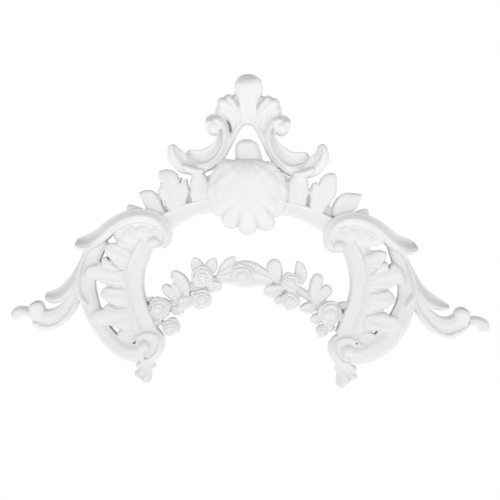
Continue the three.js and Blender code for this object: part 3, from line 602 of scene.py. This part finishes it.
# The wings: two hollow strands that leave each scroll and sweep outwards. The upper one ends in a
# point, and the lower one in a round knob and a curl.
WING_RISE = 0.024
CURL = across((-1, 0.62), (-0.2, 0.96), (0.5, 1), (1, 0.9))
STRAND_UP = across((-1, 0.36), (-0.86, 0.38), (0.5, 0.98), (0.66, 1), (1, 0.78))
STRAND_LOW = blend(
    across((-1, 0.7), (-0.7, 0.82), (0, 0.84), (0.2, 0.76), (0.5, 0.98), (0.64, 1), (1, 0.76)),
    across((-1, 0.6), (-0.7, 0.9), (-0.2, 0.98), (0.3, 0.84), (0.5, 0.66), (0.62, 0.9), (0.74, 0.96),
           (1, 0.74)), 0.2, 0.9)
KNOB = ((0, 0.6, 0.5), (0.3, 0.8, 0.84), (0.65, 1, 1), (0.86, 0.88, 1), (1, 0.5, 0.94))
WINGS = {
    "left": {
        "upper": [(85, 251, 2.6, 0.94), (79, 267.4, 4, 0.92), (72.4, 281.4, 6, 0.9),
                  (62.6, 292.6, 7, 0.84), (53, 297, 6.8, 0.78), (43.4, 296, 3.4, 0.7)],
        "lower": [(77, 289, 5, 0.96), (71.4, 302, 6.8, 0.92), (63, 312.4, 8.6, 0.88),
                  (52, 318.8, 10.2, 0.84), (41, 319.8, 10.6, 0.8), (30.6, 316.6, 8, 0.76)],
        "lip": [(48, 327.6, 2.4, 0.8), (40, 326.4, 4, 0.86), (33, 321.6, 3, 0.8)],
        "knob": ((37, 324), (33.8, 301), 7.4, -1),
        "curl": [(30.4, 314.4, 4, 0.66), (22.4, 311.4, 4.8, 0.66), (15.6, 313, 5.4, 0.64),
                 (11.6, 320, 4.2, 0.56)],
    },
    "right": {
        "upper": [(402, 250, 2.4, 0.94), (409.4, 267, 3.8, 0.92), (415, 280, 5, 0.9),
                  (422, 291.4, 6, 0.86), (431, 300.6, 7, 0.84), (441.6, 305.4, 5.4, 0.78),
                  (451, 307.4, 1.6, 0.72)],
        "lower": [(415.4, 293, 5, 0.96), (421.6, 308.6, 6.4, 0.92), (431, 319.6, 8.2, 0.88),
                  (441.6, 326.6, 10, 0.84), (453, 327.4, 10.8, 0.8), (463.6, 321.4, 10.2, 0.78),
                  (471, 318.4, 7.4, 0.72)],
        "lip": [(444, 335, 2.4, 0.8), (452, 335.6, 3.6, 0.86), (461, 331, 3, 0.8)],
        "knob": ((462, 331), (465, 307.6), 8, 1),
        "curl": [(471, 321.6, 4.2, 0.66), (478.6, 321.4, 4.8, 0.66), (485.4, 325.6, 5.6, 0.64),
                 (485.8, 333, 4.6, 0.56)],
    },
}
for side, forms in WINGS.items():
    carve(forms["upper"], handed(side, STRAND_UP), WING_RISE, (0, 0.8), 28)
    carve(forms["lower"], handed(side, STRAND_LOW), WING_RISE, (0, 1), 36)
    carve(forms["lip"], across((-1, 0.8), (0, 1), (1, 0.76)), WING_RISE, (1, 1), 14)
    root, tip, half, bow = forms["knob"]
    leaf(root, tip, half, bow, 0.94 * WING_RISE, frond(1, 0, 0.4, 0.8), KNOB)
    carve(forms["curl"], handed(side, CURL), WING_RISE, (0, 0.8), 16)

# The garland: a vine of small leaves, buds and open roses that hangs between the two bars, with a
# calyx like a bow behind the middle rose.
ROSE_RISE = 0.031
SPRIG_RISE = 0.020
VINE = [
    (147, 303, 3.4, 0.6), (160, 309, 6, 0.6), (172, 305, 5, 0.6), (182, 296, 4, 0.6),
    (192, 287, 5, 0.6), (204, 286, 7, 0.6), (216, 280, 4.4, 0.6), (230, 278, 6, 0.6),
    (245, 277, 8, 0.6), (260, 276, 6, 0.6), (273, 278, 4.6, 0.6), (286, 288, 6, 0.6),
    (299, 291, 4.6, 0.6), (311, 298, 4.4, 0.6), (322, 306, 7, 0.6), (336, 311, 5, 0.6),
    (348, 304, 2.6, 0.6),
]
CALYX = [(215, 277, 2.6, 0.9), (226, 276, 7.6, 0.92), (238, 274.4, 12.8, 0.94), (250, 274.4, 13.4, 0.94),
         (262, 277, 9, 0.92), (274, 281, 3, 0.9)]
ROSES = [
    (159.2, 308.4, 12, 0), (171, 326.8, 9.4, 0.5), (202, 276.8, 11.4, 0.3), (201.4, 299.4, 10.8, 0.9),
    (242.2, 275.4, 12.4, 0.2), (291, 282, 10.2, 0.6), (290.8, 300.4, 10.2, 0.1), (330, 313.4, 12.8, 0.7),
]
BUDS = [(157, 321.4, 5.6), (322, 331.4, 6.4), (330.4, 327, 5.2)]
SPRIGS = [
    ((157, 303), (146.4, 298.6), 3.6, 0), ((178, 298), (173, 283), 5, 0),
    ((200, 274), (193.6, 257.4), 6.4, 0), ((207, 274), (214.8, 258), 6.4, 0),
    ((171, 310), (184, 313.6), 4.6, 1), ((221, 281), (234.4, 256.4), 7.4, 1),
    ((299, 284), (297.2, 261.2), 6.2, -3), ((284, 299), (274, 302.4), 4.8, 0),
    ((316, 306), (299.6, 308.6), 5.8, 1), ((338, 308), (348.4, 303.4), 4, 0),
    ((322, 318), (310.4, 321), 5.4, 0), ((207, 285), (220.6, 289.6), 6, 0),
    ((250, 284), (270, 272), 7, 0),
]
BROAD_SPRIGS = [
    ((314, 302), (320.6, 274.2), 6.2, 2), ((316, 304), (331.4, 286.8), 5.8, 1),
    ((176, 300), (163.6, 284.4), 4.6, 1), ((187, 297), (170.2, 273.6), 6, -5),
    ((196, 298), (176.6, 304), 7, 1.4), ((277, 282), (271.6, 259.4), 7.8, -1),
    ((285, 287), (263.4, 291.6), 6.6, 1.4), ((206, 284), (221.6, 288.4), 5.6, 0),
]
RIBBED = across((-1, 0.84), (-0.7, 0.98), (0, 0.93), (0.7, 0.98), (1, 0.84))
CALYX_FORM = across((-1, 0.8), (-0.8, 0.96), (-0.3, 0.9), (0.1, 0.98), (0.5, 0.9), (0.8, 0.98), (1, 0.8))
HEART = 0.17  # the heart's share of a rose's radius
# Of each ring of a rose: how far it reaches, its petals, the step between two, its share of the rise.
RINGS = ((0.36, 1, 0.4, 1), (0.7, 2, 0.24, 0.96), (1, 4, 0.12, 0.9))


def rose_bend(turn):
    """Rings of petals. Each petal is tucked behind the next at one end and turns its lip out."""
    def bend(bearing, out):
        inside = 0
        for reach, petals, step, share in RINGS:
            slat = (petals * bearing / (2 * math.pi) + turn * (1 + petals)) % 1
            slat = ease(slat / 0.86) if slat < 0.86 else ease((1 - slat) / 0.14)
            edge = reach * (1 + step * (slat - 0.5)) if reach < 1 else 1
            if out <= edge or reach == 1:
                break
            inside = edge
        s = (out - inside) / (edge - inside)
        lip = ease(s / 0.7) if s < 0.84 else 1 - 0.5 * ease((s - 0.84) / 0.16)
        depth = 0.09 if inside else 0.05
        notch = step * (slat - 1) * ease((out - 0.7) / 0.3) if reach == 1 else 0
        return 1 + notch, share - depth * (1 - lip)
    return bend


def rose(x, down, radius, turn, rise):
    """An open rose: rings of petals round a rolled heart."""
    mound((x, down), radius, rise, lambda out: 1 - 0.1 * out**2, rose_bend(turn), 44, 110)
    mound((x - 0.04 * radius, down), HEART * radius, 1.05 * rise, ball, None, 6, 20)


carve(VINE, rounded, 1.3 * SPRIG_RISE, (1, 1), 12)
carve(CALYX, CALYX_FORM, 1.2 * SPRIG_RISE, (1, 1), 28)
for x, down, radius, turn in ROSES:
    rose(x, down, radius, turn, ROSE_RISE)
for x, down, radius in BUDS:
    rose(x, down, radius, 0.3, 0.84 * ROSE_RISE)
for root, tip, half, bow in SPRIGS:
    leaf(root, tip, half, bow, 1.06 * SPRIG_RISE, RIBBED, POINTED_LEAF, 0.6)
for root, tip, half, bow in BROAD_SPRIGS:
    leaf(root, tip, half, bow, 1.1 * SPRIG_RISE, RIBBED, OVAL_LEAF, 1.2)

# The casting: all the carving fused into one body of plaster, softened a little as by the mould, and
# pressed flat behind.
VOXEL = 0.00062
SMOOTHINGS = 2
PRESSED = 0.0006  # what lies nearer to the back than this is pressed flat
MOST_TRIANGLES = 190000
SHARP = math.radians(62)  # edges that turn more than this are shaded as sharp

mesh = bpy.data.meshes.new("carving")
casting.to_mesh(mesh)
casting.free()
carving = bpy.data.objects.new("carving", mesh)
bpy.context.scene.collection.objects.link(carving)
remesh = carving.modifiers.new("fuse", "REMESH")
remesh.mode = "VOXEL"
remesh.voxel_size = VOXEL
cast = bpy.data.meshes.new_from_object(carving.evaluated_get(bpy.context.evaluated_depsgraph_get()))
bpy.data.objects.remove(carving)

body = bmesh.new()
body.from_mesh(cast)
for _ in range(SMOOTHINGS):
    bmesh.ops.smooth_vert(
        body, verts=body.verts, factor=0.5, use_axis_x=True, use_axis_y=True, use_axis_z=True
    )
for vertex in body.verts:
    if vertex.co.y > -PRESSED:
        vertex.co.y = 0
body.to_mesh(cast)
body.free()
ornament = bpy.data.objects.new("ornament_casting", cast)
bpy.context.scene.collection.objects.link(ornament)
triangles = 2 * len(cast.polygons)  # the remesh gives four-sided faces
thin = ornament.modifiers.new("thin", "DECIMATE")
thin.ratio = min(1, MOST_TRIANGLES / triangles)
finished = bpy.data.meshes.new_from_object(ornament.evaluated_get(bpy.context.evaluated_depsgraph_get()))
ornament.modifiers.clear()
ornament.data = finished
for polygon in finished.polygons:
    polygon.use_smooth = True
finished.set_sharp_from_angle(angle=SHARP)

plaster = bpy.data.materials.new("plaster")
plaster.use_nodes = True
nodes, links = plaster.node_tree.nodes, plaster.node_tree.links
shader = nodes["Principled BSDF"]
shader.inputs["Specular IOR Level"].default_value = 0.3
coords = nodes.new("ShaderNodeTexCoord")


def noise(scale, detail):
    """A noise on the object's own coordinates."""
    texture = nodes.new("ShaderNodeTexNoise")
    texture.inputs["Scale"].default_value = scale
    texture.inputs["Detail"].default_value = detail
    links.new(coords.outputs["Object"], texture.inputs["Vector"])
    return texture


def spread(source, low, high):
    """Spreads the usual range of a noise over the range from low to high."""
    remap = nodes.new("ShaderNodeMapRange")
    remap.inputs["From Min"].default_value = 0.3
    remap.inputs["From Max"].default_value = 0.7
    remap.inputs["To Min"].default_value = low
    remap.inputs["To Max"].default_value = high
    links.new(source.outputs["Fac"], remap.inputs["Value"])
    return remap


cloud, grain = noise(14, 4), noise(900, 3)
tone = nodes.new("ShaderNodeMix")
tone.data_type = "RGBA"
tone.inputs["A"].default_value = (0.80, 0.80, 0.80, 1)
tone.inputs["B"].default_value = (0.83, 0.83, 0.825, 1)
links.new(spread(cloud, 0, 1).outputs["Result"], tone.inputs["Factor"])
links.new(tone.outputs["Result"], shader.inputs["Base Color"])
links.new(spread(grain, 0.6, 0.75).outputs["Result"], shader.inputs["Roughness"])
bump = nodes.new("ShaderNodeBump")
bump.inputs["Strength"].default_value = 0.15
bump.inputs["Distance"].default_value = 0.0003
links.new(grain.outputs["Fac"], bump.inputs["Height"])
links.new(bump.outputs["Normal"], shader.inputs["Normal"])
finished.materials.clear()
finished.materials.append(plaster)
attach(ornament, "root")
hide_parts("ornament")

# The studio: a pale floor below the ornament, a tent of soft light that is darker overhead, and a
# camera straight in front.
FLOOR_HALF = 0.8
FLOOR_PLACE = (0, -0.7, -0.42)
FLOOR_GLOW = 0.42
OVERHEAD, LEVEL, BELOW = 0.5, 1.27, 1.42  # strengths of the tent's light
CAMERA_PLACE = (0.00376, -1.6, -0.0752)

bpy.context.scene.view_settings.view_transform = "Standard"
floor_mesh = bmesh.new()
bmesh.ops.create_grid(
    floor_mesh, x_segments=1, y_segments=1, size=FLOOR_HALF, matrix=Matrix.Translation(FLOOR_PLACE)
)
floor_data = bpy.data.meshes.new("floor")
floor_mesh.to_mesh(floor_data)
floor_mesh.free()
floor = bpy.data.objects.new("floor", floor_data)
bpy.context.scene.collection.objects.link(floor)
paint = bpy.data.materials.new("pale_floor")
paint.use_nodes = True
coat = paint.node_tree.nodes["Principled BSDF"].inputs
coat["Base Color"].default_value = (0.9, 0.9, 0.9, 1)
coat["Roughness"].default_value = 0.9
coat["Emission Color"].default_value = (1, 1, 1, 1)
coat["Emission Strength"].default_value = FLOOR_GLOW
floor_data.materials.append(paint)

world = bpy.data.worlds.new("studio")
bpy.context.scene.world = world
world.use_nodes = True
world_nodes, world_links = world.node_tree.nodes, world.node_tree.links
seen = world_nodes["Background"]
seen.inputs["Color"].default_value = (1, 1, 1, 1)
tent = world_nodes.new("ShaderNodeBackground")
tent.inputs["Color"].default_value = (1, 1, 1, 1)
direction = world_nodes.new("ShaderNodeTexCoord")
height = world_nodes.new("ShaderNodeSeparateXYZ")
world_links.new(direction.outputs["Generated"], height.inputs["Vector"])
# The curve holds nothing above 1, so it carries half of each strength, which is doubled after it.
ramp = world_nodes.new("ShaderNodeFloatCurve")
curve = ramp.mapping.curves[0]
curve.points[0].location = (0, BELOW / 2)
curve.points[1].location = (1, OVERHEAD / 2)
curve.points.new(0.5, LEVEL / 2)
curve.points.new(0.72, OVERHEAD / 2)
ramp.mapping.update()
share = world_nodes.new("ShaderNodeMapRange")
share.inputs["From Min"].default_value = -1
world_links.new(height.outputs["Z"], share.inputs["Value"])
world_links.new(share.outputs["Result"], ramp.inputs["Value"])
double = world_nodes.new("ShaderNodeMath")
double.operation = "MULTIPLY"
double.inputs[1].default_value = 2
world_links.new(ramp.outputs["Value"], double.inputs[0])
world_links.new(double.outputs["Value"], tent.inputs["Strength"])
rays = world_nodes.new("ShaderNodeLightPath")
choice = world_nodes.new("ShaderNodeMixShader")
world_links.new(rays.outputs["Is Camera Ray"], choice.inputs["Fac"])
world_links.new(tent.outputs["Background"], choice.inputs[1])
world_links.new(seen.outputs["Background"], choice.inputs[2])
world_links.new(choice.outputs["Shader"], world_nodes["World Output"].inputs["Surface"])


def softbox(name, place, aim, width, height, power):
    """A rectangle of light at a place, aimed at another."""
    light = bpy.data.lights.new(name, "AREA")
    light.shape = "RECTANGLE"
    light.size, light.size_y = width, height
    light.energy = power
    lamp = bpy.data.objects.new(name, light)
    bpy.context.scene.collection.objects.link(lamp)
    lamp.location = place
    lamp.rotation_euler = (Vector(aim) - Vector(place)).to_track_quat("-Z", "Y").to_euler()


softbox("front_light", (0, -2.2, -0.7), (0, 0, -0.05), 1.6, 1.2, 24)

lens = bpy.data.cameras.new("camera")
lens.lens = 90.8
lens.sensor_width = 36
camera = bpy.data.objects.new("camera", lens)
bpy.context.scene.collection.objects.link(camera)
camera.location = CAMERA_PLACE
camera.rotation_euler = (math.radians(90), 0, 0)
bpy.context.scene.camera = camera
